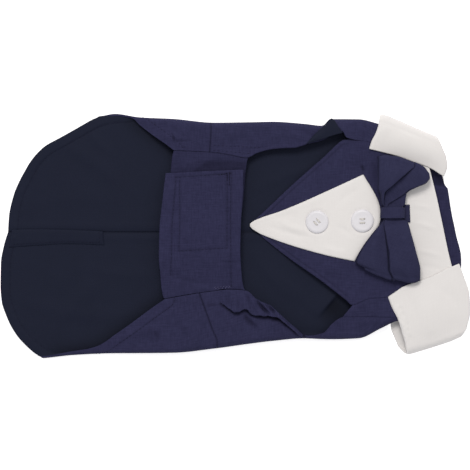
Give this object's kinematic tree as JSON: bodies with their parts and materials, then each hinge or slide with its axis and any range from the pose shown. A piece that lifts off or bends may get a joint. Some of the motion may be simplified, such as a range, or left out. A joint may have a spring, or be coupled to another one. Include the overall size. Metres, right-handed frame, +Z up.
{
  "type": "dog tailcoat costume",
  "caption": "Small dog's navy tailcoat costume laid flat belly side up, with white shirt front, buttons, bow tie and turned-down collar.",
  "frame": {"origin": "centre of the bounding box, on the surface that the back of the coat lies on", "axes": "+X from the tails to the neck, +Y towards the dog's right side, +Z up out of the surface"},
  "size_m": [0.3041, 0.1566, 0.0214],
  "materials": {
    "navy_cloth": "plain weave, matt",
    "lining_cloth": "smooth lining weave, slight sheen",
    "white_cloth": "plain weave cotton, matt",
    "bow_cloth": "plain weave, matt",
    "tape": "hook-and-loop pile",
    "resin": "clear polished resin"
  },
  "bodies": {
    "root": {"tail_right": "navy_cloth", "tail_left": "navy_cloth", "body": "navy_cloth", "vent_facing": "navy_cloth", "chest_panel": "navy_cloth", "shoulder_left": "navy_cloth", "shirt_front": "white_cloth", "leg_hem_right": "lining_cloth", "leg_hem_left": "navy_cloth", "belly_flap_right": "navy_cloth", "belly_flap_left": "navy_cloth", "loop_patch": "tape", "hook_patch": "tape", "collar_fall": "white_cloth", "neck_facing": "navy_cloth", "collar_band": "white_cloth", "bow_wing_right": "bow_cloth", "bow_wing_left": "bow_cloth", "bow_knot": "bow_cloth", "bow_tab": "bow_cloth", "button_lower": "resin", "button_upper": "resin"}
  },
  "joints": []
}
